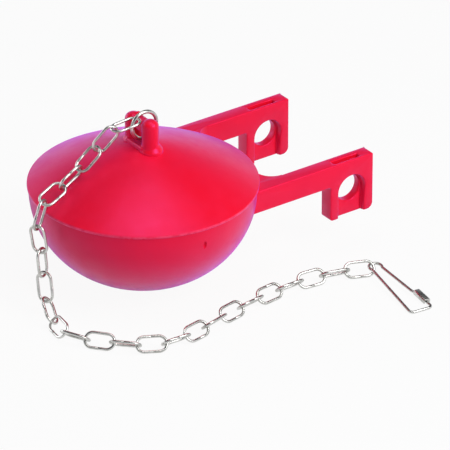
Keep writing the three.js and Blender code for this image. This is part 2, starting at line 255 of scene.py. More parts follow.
def merge(pieces: list) -> bpy.types.Object:
    """Puts several pieces' shells into the first piece."""
    bpy.ops.object.select_all(action="DESELECT")
    for piece in pieces:
        piece.select_set(True)
    bpy.context.view_layer.objects.active = pieces[0]
    bpy.ops.object.join()
    return bpy.context.object


def edge_along(edge: bmesh.types.BMEdge, axis: int, *places: tuple) -> bool:
    """Says whether an edge runs along one axis and stands at one of the places on the other two.

    Args:
        edge: The edge.
        axis: 0, 1 or 2, the axis it has to run along.
        places: Pairs of coordinates on the other two axes, in their order.

    Returns:
        Whether it does.
    """
    a, b = (vertex.co for vertex in edge.verts)
    others = [i for i in range(3) if i != axis]
    if any(abs(a[i] - b[i]) > 1e-3 for i in others):
        return False
    return any(all(abs(a[i] - p) < 1e-3 for i, p in zip(others, place, strict=True)) for place in places)


@dataclass
class Strand:
    """A value inside a material, on which Python's operators add Math nodes."""

    recipe: Recipe
    socket: bpy.types.NodeSocket

    def _maths(self, operation: str, first: Any, second: Any = 0.0) -> Strand:
        """Adds one Math node and gives its result."""
        return self.recipe.add("ShaderNodeMath", {"operation": operation}, {0: first, 1: second})

    def __add__(self, other: Any) -> Strand:
        """Sum."""
        return self._maths("ADD", self, other)

    def __radd__(self, other: Any) -> Strand:
        """Sum, the other way round."""
        return self._maths("ADD", other, self)

    def __sub__(self, other: Any) -> Strand:
        """Difference."""
        return self._maths("SUBTRACT", self, other)

    def __rsub__(self, other: Any) -> Strand:
        """Difference, the other way round."""
        return self._maths("SUBTRACT", other, self)

    def __mul__(self, other: Any) -> Strand:
        """Product."""
        return self._maths("MULTIPLY", self, other)

    def __rmul__(self, other: Any) -> Strand:
        """Product, the other way round."""
        return self._maths("MULTIPLY", other, self)

    def __truediv__(self, other: Any) -> Strand:
        """Quotient."""
        return self._maths("DIVIDE", self, other)

    def __pow__(self, other: Any) -> Strand:
        """Power."""
        return self._maths("POWER", self, other)

    def __abs__(self) -> Strand:
        """Size without sign."""
        return self._maths("ABSOLUTE", self)


@dataclass
class Recipe:
    """A node tree while it is written, of a material or of the world."""

    owner: bpy.types.ID

    def __post_init__(self) -> None:
        """Starts an empty tree."""
        self.owner.use_nodes = True
        self.owner.node_tree.nodes.clear()

    @classmethod
    def material(cls, name: str) -> Recipe:
        """Starts a material of this name."""
        return cls(bpy.data.materials.new(name))

    def add(
        self, kind: str, settings: dict | None = None, inputs: dict | None = None, output: Any = 0
    ) -> Strand:
        """Adds one node.

        Args:
            kind: The node's type.
            settings: What is set on the node itself, before its sockets.
            inputs: Values or strands for its sockets, by name or number.
            output: The socket that is given back.

        Returns:
            The named output as a strand.
        """
        node = self.owner.node_tree.nodes.new(kind)
        for key, value in (settings or {}).items():
            setattr(node, key, value)
        for key, value in (inputs or {}).items():
            if isinstance(value, Strand):
                self.owner.node_tree.links.new(value.socket, node.inputs[key])
            else:
                node.inputs[key].default_value = value
        result = node.outputs[output] if len(node.outputs) else None
        return Strand(self, result)

    def places(self) -> Strand:
        """The Object coordinates, in metres."""
        return self.add("ShaderNodeTexCoord", output="Object")

    def away(self, centre: tuple) -> tuple:
        """How far a point is from a centre, along X, Y and Z, as three strands."""
        shift = {"operation": "SUBTRACT"}
        place = self.add("ShaderNodeVectorMath", shift, {0: self.places(), 1: centre})
        split = self.add("ShaderNodeSeparateXYZ", {}, {0: place})
        return tuple(Strand(self, split.socket.node.outputs[axis]) for axis in "XYZ")

    def noise(self, scale: float, detail: float = 2.0, rough: float = 0.5) -> Strand:
        """A soft random value between 0 and 1.

        Args:
            scale: How many features a metre has.
            detail: How many finer layers it has.
            rough: How strong the finer layers are.

        Returns:
            The value.
        """
        inputs = {"Vector": self.places(), "Scale": scale, "Detail": detail, "Roughness": rough}
        return self.add("ShaderNodeTexNoise", {}, inputs)

    def spread(
        self, value: Strand, low: float, high: float, to_low: float = 0.0, to_high: float = 1.0
    ) -> Strand:
        """Maps a value softly from one range to another and keeps it inside.

        Args:
            value: What is mapped.
            low: The start of its range.
            high: The end of its range.
            to_low: What the start becomes.
            to_high: What the end becomes.

        Returns:
            The mapped value.
        """
        settings = {"interpolation_type": "SMOOTHSTEP"}
        inputs = {"Value": value, "From Min": low, "From Max": high, "To Min": to_low, "To Max": to_high}
        return self.add("ShaderNodeMapRange", settings, inputs)

    def blend(self, share: Strand, first: Any, second: Any) -> Strand:
        """Mixes two colours by a share."""
        colours = [value if isinstance(value, Strand) else (*value, 1) for value in (first, second)]
        inputs = {0: share, 6: colours[0], 7: colours[1]}
        return self.add("ShaderNodeMix", {"data_type": "RGBA"}, inputs, 2)

    def bump(self, height: Strand, strength: float, depth: float) -> Strand:
        """A surface normal from a height.

        Args:
            height: The height, from 0 to 1.
            strength: How much of it is felt.
            depth: What a height of 1 stands for, in metres.

        Returns:
            The normal.
        """
        return self.add("ShaderNodeBump", {}, {"Height": height, "Strength": strength, "Distance": depth})

    def finish(self, surface: dict) -> bpy.types.Material:
        """Closes a material with a Principled surface of these inputs."""
        self.close(self.add("ShaderNodeBsdfPrincipled", {}, surface))
        return self.owner

    def close(self, shader: Strand, kind: str = "ShaderNodeOutputMaterial") -> None:
        """Ends the tree with this shader."""
        self.add(kind, {}, {"Surface": shader})


@dataclass(frozen=True)
class RedRubber:
    """Satin red rubber, a little cloudy, with a paler line round the rim: a painted highlight on the
    parting line.

    A noise is given by its scale, its detail and its roughness, and a band by the two ends of
    a noise's range and what they become.
    """

    colour: tuple = (0.84, 0.003, 0.011)
    deep_colour: tuple = (0.74, 0.002, 0.007)
    # Colour of the painted highlight on the parting line round the rim.
    seam_highlight_colour: tuple = (0.95, 0.06, 0.13)
    gloss_colour: tuple = (1.0, 0.22, 1.0)
    gloss: float = 0.6
    sheen_colour: tuple = (0.5, 0.13, 0.9)
    sheen_roughness: float = 0.4
    least_roughness: float = 0.30
    cloud: tuple = (38, 4, 0.55)
    cloud_band: tuple = (0.35, 0.7, 0, 0.55)
    blotch: tuple = (160, 3, 0.6)
    blotch_band: tuple = (0.3, 0.7, 0, 0.10)
    pebble: tuple = (520, 3, 0.55)
    pebble_roughness: float = 0.05
    pebble_height: float = 0.75
    grain: tuple = (2400, 2, 0.5)
    relief: tuple = (0.35, 0.00012)
    seam_highlight_noise: tuple = (420, 2)
    seam_highlight_noise_band: tuple = (0.35, 0.6, 0.35, 1)
    seam_highlight_share: float = 0.75
    rim_place: tuple = (0.0, -0.02045, 0.0382)
    rim_ring: tuple = (0.0424, 0.0427)
    rim_band: tuple = (0.0007, 0.00028)

    def seam_highlight_mask(self, recipe: Recipe) -> Strand:
        """One on the parting line round the rim, where the highlight is painted, and nothing elsewhere.
        """
        x, y, z = recipe.away(self.rim_place)
        radius = (x * x + y * y) ** 0.5
        return recipe.spread(abs(z), *self.rim_band) * recipe.spread(radius, *self.rim_ring)

    def make(self) -> bpy.types.Material:
        """Writes the material.

        Returns:
            The rubber.
        """
        recipe = Recipe.material("red_rubber")
        cloudy = recipe.spread(recipe.noise(*self.cloud), *self.cloud_band)
        blotched = recipe.spread(recipe.noise(*self.blotch), *self.blotch_band)
        pebble = recipe.noise(*self.pebble)
        # Painted highlight: a broken pale band along the parting line round the rim.
        seam_highlight = self.seam_highlight_mask(recipe) * recipe.spread(recipe.noise(*self.seam_highlight_noise), *self.seam_highlight_noise_band)
        colour = recipe.blend(cloudy, self.colour, self.deep_colour)
        # Blends the painted seam highlight into the base colour.
        colour = recipe.blend(seam_highlight * self.seam_highlight_share, colour, self.seam_highlight_colour)
        height = pebble * self.pebble_height + recipe.noise(*self.grain) * (1 - self.pebble_height)
        return recipe.finish(
            {
                "Base Color": colour,
                "Roughness": self.least_roughness + blotched + pebble * self.pebble_roughness,
                "Normal": recipe.bump(height, *self.relief),
                "Specular IOR Level": self.gloss,
                "Specular Tint": (*self.gloss_colour, 1),
                "Sheen Weight": 1.0,
                "Sheen Roughness": self.sheen_roughness,
                "Sheen Tint": (*self.sheen_colour, 1),
            }
        )


@dataclass(frozen=True)
class BrightSteel:
    """Plated steel wire: bright, with darker patches that are partly dull plating and partly painted dark
    reflection, and fine specks.
    """

    colour: tuple = (0.60, 0.60, 0.58)
    # Colour of the darker patches: dull plating with painted dark reflection.
    dull_and_dark_reflection_colour: tuple = (0.34, 0.34, 0.31)
    least_roughness: float = 0.24
    patch: tuple = (260, 3, 0.6)
    dull_and_dark_reflection_band: tuple = (0.45, 0.75, 0, 0.8)
    rough_band: tuple = (0.4, 0.75, 0, 0.14)
    speck: tuple = (1500, 3, 0.6)
    speck_roughness: float = 0.08
    relief: tuple = (0.25, 0.00006)

    def make(self) -> bpy.types.Material:
        """Writes the material.

        Returns:
            The steel.
        """
        recipe = Recipe.material("bright_steel")
        patch, speck = recipe.noise(*self.patch), recipe.noise(*self.speck)
        # Darker patches at random: painted dark reflections, with some dull plating.
        dull_and_dark_reflection = recipe.spread(patch, *self.dull_and_dark_reflection_band)
        rough = recipe.spread(patch, *self.rough_band)
        return recipe.finish(
            {
                "Base Color": recipe.blend(dull_and_dark_reflection, self.colour, self.dull_and_dark_reflection_colour),
                "Metallic": 1.0,
                "Roughness": self.least_roughness + rough + speck * self.speck_roughness,
                "Normal": recipe.bump(speck, *self.relief),
            }
        )


@dataclass
class Bulb:
    """The hollow float: a round bowl under a shallow dome, with an open mouth below."""

    axis_y: float = -20.45
    rim_radius: float = 43.0
    rim_height: float = 38.2
    rim_band: float = 1.0
    rim_ledge: float = 0.5
    rim_shape: tuple = ((-0.16, -0.5), (-0.04, -0.36), (0.0, -0.1), (0.0, 0.1), (-0.03, 0.36))
    rim_inset: float = 0.14
    fullness: float = 2.1
    wall: float = 3.2
    floor: float = 4.5
    foot_radius: float = 7.5
    foot_round: float = 0.8
    foot_shape: tuple = ((-0.24, 0.0), (0.32, 0.16))
    mouth_radius: float = 4.5
    mouth_lip: float = 0.5
    dome_rise: float = 16.4
    apex_slope: float = 0.16
    rows: int = 44
    dent: tuple = (42.0, -2.5, 31.0)
    dent_size: tuple = (1.0, 0.8, 1.7)
    nicks: tuple = ((-43.0, 0.9), (-40.4, 0.7), (-34.5, 0.8))
    nick_depth: float = 0.35
    nick_rise: float = 0.4

    @property
    def bowl_radius(self) -> float:
        """The bowl's radius just under the rim's ledge."""
        return self.rim_radius - self.rim_ledge

    def bowl(self, top_radius: float, low_radius: float, low: float) -> list:
        """The bowl's curve from its foot up to the ledge.

        Args:
            top_radius: The radius under the ledge.
            low_radius: The radius at the foot.
            low: The foot's height.

        Returns:
            Pairs of radius and height.
        """
        top = self.rim_height - self.rim_band / 2
        full = self.fullness
        share = (low_radius / top_radius) ** full
        depth = (top - low) / (1 - share) ** (1 / full)
        start = math.acos(((top - low) / depth) ** (full / 2))
        curve = []
        for i in range(self.rows + 1):
            angle = start + (math.pi / 2 - start) * i / self.rows
            radius = top_radius * math.sin(angle) ** (2 / full)
            curve.append((radius, top - depth * max(0.0, math.cos(angle)) ** (2 / full)))
        return curve

    def dome_height(self, radius: float) -> float:
        """Height of the dome's outside at a radius."""
        bend = (self.dome_rise - self.apex_slope * self.rim_radius) / self.rim_radius**2
        top = self.rim_height + self.rim_band / 2 + self.dome_rise
        return top - self.apex_slope * radius - bend * radius**2

    def dome_slope(self, radius: float) -> float:
        """Fall of the dome's outside at a radius."""
        bend = (self.dome_rise - self.apex_slope * self.rim_radius) / self.rim_radius**2
        return self.apex_slope + 2 * bend * radius

    def dome(self, rim: float, drop: float) -> list:
        """The dome's curve from the rim to the axis, this far under its outside."""
        shares = [1 - i / self.rows for i in range(self.rows + 1)]
        return [(rim * share, self.dome_height(rim * share) - drop) for share in shares]

    def rim(self) -> list:
        """The rim's band with its rounded edges, proudest at the parting line in its middle."""
        return [(self.rim_radius + out, self.rim_height + up) for out, up in self.rim_shape]

    def outside(self) -> bpy.types.Object:
        """The bulb's outer form as one solid, with its dent and the nicks in its rim."""
        curve = self.bowl(self.bowl_radius, self.foot_radius, 0)
        bowl = [point for point in curve if point[1] > self.foot_round]
        foot = [(self.foot_radius + out, up) for out, up in self.foot_shape]
        dome = self.dome(self.rim_radius - self.rim_inset, 0)
        piece = turned("bulb_outside", [(0, 0), *foot, *bowl, *self.rim(), *dome])
        combine(piece, self.pit(*self.dent, self.dent_size), Join.CUT)
        low = self.rim_height - self.rim_band / 2
        for angle, width in self.nicks:
            size = (self.nick_depth, width, self.nick_rise)
            combine(piece, self.pit(self.rim_radius, angle, low, size), Join.CUT)
        return piece

    def pit(self, radius: float, angle: float, height: float, size: tuple) -> bpy.types.Object:
        """A small egg shape that is cut out of the bulb's side.

        Args:
            radius: Its distance from the axis.
            angle: Its direction from the axis, in degrees from X.
            height: Its height.
            size: Its half lengths outwards, sideways and upwards.

        Returns:
            The egg.
        """
        bpy.ops.object.select_all(action="DESELECT")
        bpy.ops.mesh.primitive_uv_sphere_add(segments=32, ring_count=20, radius=1)
        piece = bpy.context.object
        turn = Matrix.Rotation(math.radians(angle), 4, "Z")
        piece.data.transform(turn @ Matrix.Translation((radius, 0, height)) @ Matrix.Diagonal((*size, 1)))
        return piece

    def inside(self) -> bpy.types.Object:
        """The room inside the bulb as one solid."""
        radius = self.bowl_radius - self.wall
        drop = self.wall * math.hypot(1, self.dome_slope(radius))
        roof = self.dome(radius, drop)
        curve = self.bowl(radius, self.mouth_radius, self.floor)
        walls = [point for point in curve if point[1] < roof[0][1]]
        return turned("bulb_inside", [(0, self.floor), *walls, *roof], 96)

    def mouth(self) -> bpy.types.Object:
        """The hole in the bulb's foot, with a softened lip."""
        radius, lip, high = self.mouth_radius, self.mouth_lip, self.floor + self.wall
        profile = [(0, -1), (radius + lip + 1, -1), (radius, lip), (radius, high), (0, high)]
        return turned("mouth", profile, 64)


@dataclass
class Arm:
    """One arm with its drop ear, peg bore, arched recess and slot pocket."""

    side: Side
    bulb: Bulb
    centre: float = 26.7
    thickness: float = 6.0
    top_drop: float = 1.0
    depth: float = 8.9
    root_fillet: float = 6.5
    start_share: float = 0.5
    web_share: float = 0.7
    web_inset: float = 0.02
    tail_round: float = 0.6
    ear_length: float = 19.6
    ear_reach: float = 83.9
    ear_drop: float = 23.2
    corner_round: float = 2.5
    toe_round: float = 1.2
    upright_round: float = 1.5
    heel_round: float = 1.0
    bore_radius: float = 5.2
    bore_drop: float = 12.8
    bore_from_tail: float = 9.7
    recess_radius: float = 6.2
    recess_depth: float = 2.9
    recess_foot: tuple = (1.3, 1.2)
    pocket: tuple = (2.4, 12.0, 4.0)
    pocket_skin: float = 1.1
    pocket_from_tail: float = 11.3
    edge: float = 0.45

    @property
    def top(self) -> float:
        """The arm's upper face."""
        return self.bulb.rim_height - self.top_drop

    @property
    def low(self) -> float:
        """The arm's lower face, before the ear."""
        return self.top - self.depth

    @property
    def ear_low(self) -> float:
        """The ear's lower face."""
        return self.top - self.ear_drop

    @property
    def face(self) -> float:
        """The face towards +X, which has the recess."""
        return self.side.value * self.centre + self.thickness / 2

    @property
    def bore(self) -> tuple:
        """The peg bore's place along Y and Z."""
        return (self.ear_reach - self.bore_from_tail, self.top - self.bore_drop)

    def blank(self) -> bpy.types.Object:
        """The arm and ear before anything is cut: a block, drawn down at its tail."""
        start = self.bulb.bowl_radius * self.start_share
        front = self.ear_reach - self.ear_length
        back = self.face - self.thickness
        piece = cube("arm", (back, start, self.low), (self.face, self.ear_reach, self.top))
        with editing(piece):
            bpy.ops.mesh.select_all(action="SELECT")
            bpy.ops.mesh.bisect(plane_co=(0, front, 0), plane_no=(0, 1, 0))
            grip(
                piece,
                Grip.FACES,
                lambda f: f.normal.z < -0.9 and f.calc_center_median().y > front,
            )
            drop = {"value": (0, 0, self.ear_low - self.low)}
            bpy.ops.mesh.extrude_region_move(TRANSFORM_OT_translate=drop)
            rounds = [
                ((front, self.ear_low), self.toe_round, 8),
                ((self.ear_reach, self.ear_low), self.corner_round, 8),
                ((self.ear_reach, self.top), self.tail_round, 6),
                ((front, self.low), self.heel_round, 5),
            ]
            for place, radius, segments in rounds:
                grip(piece, Grip.EDGES, lambda e, at=place: edge_along(e, 0, at))
                bpy.ops.mesh.bevel(offset=radius, segments=segments, affect="EDGES")
            grip(piece, Grip.EDGES, lambda e: edge_along(e, 2, (back, self.ear_reach)))
            bpy.ops.mesh.bevel(offset=self.upright_round, segments=6, affect="EDGES")
            y, z = self.bore
            for place, normal in (((0, y, 0), (0, 1, 0)), ((0, 0, z), (0, 0, 1))):
                bpy.ops.mesh.select_all(action="SELECT")
                bpy.ops.mesh.bisect(plane_co=place, plane_no=normal)
        return piece

    def recess(self) -> bpy.types.Object:
        """The arched recess round the bore, open at the ear's foot, where its floor slopes out."""
        y, z = self.bore
        radius, under = self.recess_radius, self.ear_low
        shoulders = ((y - radius, z + radius), (y + radius, z + radius))
        low = (self.face - self.recess_depth, y - radius, under - 1)
        arch = cube("recess", low, (self.face + 1, y + radius, z + radius))
        with editing(arch):
            grip(arch, Grip.EDGES, lambda e: edge_along(e, 0, *shoulders))
            bpy.ops.mesh.bevel(offset=radius - 0.01, segments=24, affect="EDGES")
            ease, slope = self.recess_foot
            grip(arch, Grip.VERTICES, lambda v: v.co.z < under and v.co.x < self.face)
            bpy.ops.transform.translate(value=(ease, 0, 0))
            grip(arch, Grip.VERTICES, lambda v: v.co.z < under and v.co.x < self.face and v.co.y > y)
            bpy.ops.transform.translate(value=(0, -slope, 0))
            bpy.ops.mesh.select_all(action="SELECT")
            bpy.ops.mesh.quads_convert_to_tris(ngon_method="CLIP")
        return arch

    def slot(self) -> bpy.types.Object:
        """The narrow pocket in the ear's upper face."""
        face = self.face - self.pocket_skin
        y = self.ear_reach - self.pocket_from_tail
        width, length, depth = self.pocket
        low = (face - width, y - length / 2, self.top - depth)
        piece = cube("slot", low, (face, y + length / 2, self.top + 1))
        with editing(piece):
            grip(piece, Grip.EDGES, lambda e: abs(e.verts[0].co.z - e.verts[1].co.z) > depth)
            bpy.ops.mesh.bevel(offset=width / 4, segments=4, affect="EDGES")
        return piece

    def web(self) -> bpy.types.Object:
        """The curved web between the arm and the bulb."""
        face = self.centre - self.thickness / 2
        x = face - self.root_fillet
        y = math.sqrt((self.bulb.bowl_radius + self.root_fillet) ** 2 - x**2)
        low, high = self.low + self.web_inset, self.top - self.web_inset
        piece = cube("web", (0, y * self.web_share, low), (face + self.thickness / 2, y, high))
        bpy.ops.object.select_all(action="DESELECT")
        bpy.ops.mesh.primitive_cylinder_add(
            vertices=96, radius=self.root_fillet, depth=self.depth * 2, location=(x, y, self.low)
        )
        hollow = bpy.context.object
        hollow.data.transform(hollow.matrix_world)
        hollow.matrix_world = Matrix.Identity(4)
        combine(piece, hollow, Join.CUT)
        toe = math.atan2(y, x)
        with editing(piece):
            bpy.ops.mesh.select_all(action="SELECT")
            bpy.ops.mesh.bisect(
                plane_co=(x, y, 0),
                plane_no=(math.sin(toe), -math.cos(toe), 0),
                clear_inner=True,
                use_fill=True,
            )
        if self.side is Side.FAR:
            piece.data.transform(Matrix.Scale(-1, 4, (1, 0, 0)))
            with editing(piece):
                bpy.ops.mesh.select_all(action="SELECT")
                bpy.ops.mesh.normals_make_consistent(inside=False)
        return piece

    def build(self) -> bpy.types.Object:
        """Models the arm.

        Returns:
            The arm, still in millimetres about the bulb's axis.
        """
        piece = self.blank()
        combine(piece, self.recess(), Join.CUT)
        ends = (self.face - 2 * self.thickness, self.face + 1)
        combine(piece, rod("bore", self.bore_radius, ends, self.bore), Join.CUT)
        combine(piece, self.slot(), Join.CUT)
        soften(piece, self.edge)
        combine(piece, self.web(), Join.ADD)
        return piece


@dataclass
class Eye:
    """The arch on the dome that the chain's ring hangs in. Its heights count from the rim."""

    bulb: Bulb
    leg_spacing: float = 10.8
    leg_width: float = 6.4
    leg_base: float = 12.1
    leg_forward: float = 0.4
    top: float = 28.3
    far_drop: float = 1.3
    crown: float = 2.6
    crown_steps: int = 8
    bar_height: float = 3.8
    bar_half_depth: float = 2.6
    bar_round: float = 1.12
    saddle_drop: float = 2.3
    saddle_width: float = 6.0
    shoulder_rise: float = 1.38
    pad_height: float = 17.7
    pad_half_depth: float = 4.2
    pad_round: float = 0.5
    flare_shape: tuple = ((4.4, 0.0), (4.35, 0.45), (3.9, 0.62), (3.3, 0.85), (3.0, 1.0))
    flare_height: float = 2.2
    flare_sink: float = 0.4
    skin: float = 0.2
    passes: int = 5

    def leg(self, sign: int, lower: float) -> bpy.types.Object:
        """One leg: a round column with a domed top.

        Args:
            sign: On which side along X it stands.
            lower: How far its top stays under the eye's full height.

        Returns:
            The leg.
        """
        radius, base = self.leg_width / 2, self.bulb.rim_height + self.leg_base
        high = self.bulb.rim_height + self.top - lower
        quarter = [math.pi / 2 * i / self.crown_steps for i in range(self.crown_steps)]
        low = high - self.crown
        dome = [(radius * math.cos(turn), low + self.crown * math.sin(turn)) for turn in quarter]
        piece = turned("leg", [(0, base), (radius, base), *dome, (0, high)], 48)
        place = (sign * self.leg_spacing / 2, -self.leg_forward, 0)
        piece.data.transform(Matrix.Translation(place))
        return piece

    def bar(self) -> bpy.types.Object:
        """The bar between the legs, saddled in its middle."""
        half, saddle, deep = self.leg_spacing / 2, self.saddle_width / 2, self.bar_half_depth
        high = self.bulb.rim_height + self.top - self.saddle_drop
        piece = cube("bar", (-half, -deep, high - self.bar_height), (half, deep, high))
        with editing(piece):
            for x in (-saddle, saddle):
                bpy.ops.mesh.select_all(action="SELECT")
                bpy.ops.mesh.bisect(plane_co=(x, 0, 0), plane_no=(1, 0, 0))
            grip(piece, Grip.VERTICES, lambda v: v.co.z > high - 1e-3 and abs(v.co.x) > saddle + 1e-3)
            bpy.ops.transform.translate(value=(0, 0, self.shoulder_rise))
        soften(piece, self.bar_round, 4)
        return piece

    def pad(self) -> bpy.types.Object:
        """The low block between the legs that the ring stands on."""
        half = self.leg_spacing / 2
        low = self.bulb.dome_height(half) - self.bulb.wall / 2
        high = self.bulb.rim_height + self.pad_height
        piece = cube("pad", (-half, -self.pad_half_depth, low), (half, self.pad_half_depth, high))
        soften(piece, self.pad_round)
        return piece

    def flare(self, sign: int) -> bpy.types.Object:
        """The round foot that a leg grows out of."""
        half = self.leg_spacing / 2
        low = self.bulb.dome_height(half + self.flare_shape[0][0]) - self.flare_sink
        rise = self.bulb.dome_height(half) + self.flare_height - low
        sides = [(radius, rise * share) for radius, share in self.flare_shape]
        piece = turned("flare", [(0, 0), *sides, (0, rise)], 48)
        piece.data.transform(Matrix.Translation((sign * half, 0, low)))
        return piece

    def build(self) -> bpy.types.Object:
        """Models the eye.

        Returns:
            The eye as one smooth skin, still in millimetres about the bulb's axis.
        """
        legs = [self.leg(-1, self.far_drop), self.leg(1, 0)]
        piece = merge([*legs, self.bar(), self.pad(), self.flare(-1), self.flare(1)])
        fuse(piece, self.skin, self.passes)
        return piece


@dataclass
class Moulding:
    """The whole red moulding: bulb, arms, ears and eye in one skin."""

    bulb: Bulb = field(default_factory=Bulb)

    def build(self) -> bpy.types.Object:
        """Models the moulding and puts it in its place.

        Returns:
            The moulding in metres.
        """
        body = self.bulb.outside()
        for side in Side:
            combine(body, Arm(side, self.bulb).build(), Join.ADD)
        combine(body, Eye(self.bulb).build(), Join.ADD)
        combine(body, self.bulb.inside(), Join.CUT)
        combine(body, self.bulb.mouth(), Join.CUT)
        place = Matrix.Translation((0, self.bulb.axis_y, 0))
        body.data.transform(Matrix.Scale(MM, 4) @ place)
        body.name = "flapper_moulding"
        smooth(body, RUBBER_EDGE)
        return body


@dataclass
class Wire:
    """A round wire that is bent in the XY plane, step by step, from where it starts."""

    name: str
    thickness: float
    start: tuple
    heading: float
    sides: int = 14
    tries: int = 20
    piece: bpy.types.Object = field(init=False)
    place: Vector = field(init=False)

    def __post_init__(self) -> None:
        """Draws the wire's round end at its start."""
        bpy.ops.object.select_all(action="DESELECT")
        bpy.ops.mesh.primitive_circle_add(
            vertices=self.sides, radius=self.thickness / 2, fill_type="NOTHING"
        )
        self.piece = bpy.context.object
        self.piece.name = self.name
        ahead = self.ahead
        side = Vector((-ahead.y, ahead.x, 0))
        turn = Matrix((side, Vector((0, 0, 1)), ahead)).transposed().to_4x4()
        self.place = Vector((*self.start, 0))
        self.piece.data.transform(Matrix.Translation(self.place) @ turn)
        alone(self.piece)
        bpy.ops.object.mode_set(mode="EDIT")
        bpy.ops.mesh.select_mode(type=Grip.VERTICES.value)
        bpy.ops.mesh.select_all(action="SELECT")

    @property
    def ahead(self) -> Vector:
        """The way the wire is heading."""
        angle = math.radians(self.heading)
        return Vector((math.cos(angle), math.sin(angle), 0))

    def straight(self, length: float) -> Wire:
        """Runs the wire straight on."""
        step = self.ahead * length
        bpy.ops.mesh.extrude_region_move(TRANSFORM_OT_translate={"value": step})
        self.place = self.place + step
        return self

    def bend(self, radius: float, angle: float, steps: int) -> Wire:
        """Bends the wire, to its left where the angle is positive.

        Args:
            radius: The bend's radius at the middle of the wire.
            angle: How far it bends, in degrees.
            steps: How many pieces the bend has.

        Returns:
            The wire itself.
        """
        left = Vector((-self.ahead.y, self.ahead.x, 0)) * math.copysign(1, angle)
        centre = self.place + left * radius
        bpy.ops.mesh.spin(
            steps=steps,
            angle=-math.radians(angle),
            center=centre,
            axis=(0, 0, 1),
            use_auto_merge=False,
        )
        turn = Matrix.Rotation(math.radians(angle), 3, "Z")
        self.place = centre + turn @ (self.place - centre)
        self.heading += angle
        return self

    def face(self, heading: float, radius: float, steps: int) -> Wire:
        """Bends the wire on a small radius until it heads this way, in degrees."""
        return self.bend(radius, (heading - self.heading + 180) % 360 - 180, steps)

    def reach(self, target: tuple, radius: float, steps: int) -> Wire:
        """Bends the wire on a small radius until it faces a point, and runs on to it.

        Args:
            target: The point, in X and Y.
            radius: The bend's radius.
            steps: How many pieces the bend has.

        Returns:
            The wire itself.
        """
        goal = Vector((*target, 0))
        turn = 0.0
        for _ in range(self.tries):
            left = Vector((-self.ahead.y, self.ahead.x, 0)) * math.copysign(1, turn)
            centre = self.place + left * radius
            after = centre + Matrix.Rotation(math.radians(turn), 3, "Z") @ (self.place - centre)
            way = goal - after
            turn = (math.degrees(math.atan2(way.y, way.x)) - self.heading + 180) % 360 - 180
        self.bend(radius, turn, steps)
        return self.straight((goal - self.place).length)

    def close(self, chamfer: float) -> bpy.types.Object:
        """Caps both ends and breaks their edges.

        Args:
            chamfer: How far the edges are broken, in millimetres.

        Returns:
            The finished wire.
        """
        grip(self.piece, Grip.EDGES, lambda e: e.is_boundary)
        bpy.ops.mesh.edge_face_add()
        bpy.ops.mesh.select_all(action="SELECT")
        bpy.ops.mesh.normals_make_consistent(inside=False)
        grip(self.piece, Grip.EDGES, lambda e: any(len(f.verts) > 4 for f in e.link_faces))
        bpy.ops.mesh.bevel(offset=chamfer, segments=2, affect="EDGES")
        bpy.ops.object.mode_set(mode="OBJECT")
        return self.piece


@dataclass
class Chain:
    """The ring in the eye and the run of oblong links."""

    count: int = 25
    length: float = 12.3
    width: float = 6.8
    wire: float = 1.1
    joint: float = 0.05
    chamfer: float = 0.12
    turned_over: int = 3
    ring_radius: float = 6.1
    ring_wire: float = 1.5
    ring_turn: float = 359.2
    ring_chamfer: float = 0.15
    bend_steps: int = 14

    def oblong(self) -> bpy.types.Object:
        """One link, long along X and flat in XY, with its butt joint halfway along one side."""
        radius = (self.width - self.wire) / 2
        straight = self.length - self.width
        half = (straight - self.joint) / 2
        wire = Wire("link", self.wire, (self.joint / 2, -radius), 0)
        wire.straight(half).bend(radius, 180, self.bend_steps)
        wire.straight(straight).bend(radius, 180, self.bend_steps).straight(half)
        return wire.close(self.chamfer)

    def ring(self) -> bpy.types.Object:
        """The round ring, flat in XY, with its butt joint low on one side."""
        radius = self.ring_radius - self.ring_wire / 2
        wire = Wire("ring", self.ring_wire, (0, -radius), 0, 18)
        wire.bend(radius, self.ring_turn, 64)
        return wire.close(self.ring_chamfer)

    @staticmethod
    def stand(node: str) -> Matrix:
        """Where a node of the frame stands, read off its own mesh.

        Args:
            node: The name of a flat, long or round loop of wire.

        Returns:
            The turn and place that bring a loop drawn in XY, long along X, onto it.
        """
        points = np.array([vertex.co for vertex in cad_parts[node].data.vertices])
        axes = np.linalg.eigh(np.cov(points.T))[1]
        long, flat = Vector(axes[:, 2]), Vector(axes[:, 0])
        if long.y + 2 * long.x < 0:
            long.negate()
        if flat.z + 0.1 * flat.x < 0:
            flat.negate()
        across = flat.cross(long)
        turn = Matrix((long, across, flat)).transposed().to_4x4()
        return Matrix.Translation(Vector(points.mean(axis=0))) @ turn

    def build(self) -> list:
        """Models the ring and every link.

        Returns:
            Pairs of a piece and the node it stands for.
        """
        made = []
        ring = self.ring()
        ring.data.transform(self.stand("chain_ring") @ Matrix.Scale(MM, 4))
        ring.name = "eye_ring"
        made.append((ring, "chain_ring"))
        first = self.oblong()
        for number in range(1, self.count + 1):
            node = f"chain_link_{number:02d}"
            link = first.copy()
            link.data = first.data.copy()
            bpy.context.scene.collection.objects.link(link)
            link.name = f"wire_link_{number:02d}"
            flip = Matrix.Rotation(math.pi * (number % self.turned_over == 0), 4, "X")
            link.data.transform(self.stand(node) @ Matrix.Scale(MM, 4) @ flip)
            made.append((link, node))
        bpy.data.objects.remove(first, do_unlink=True)
        return made


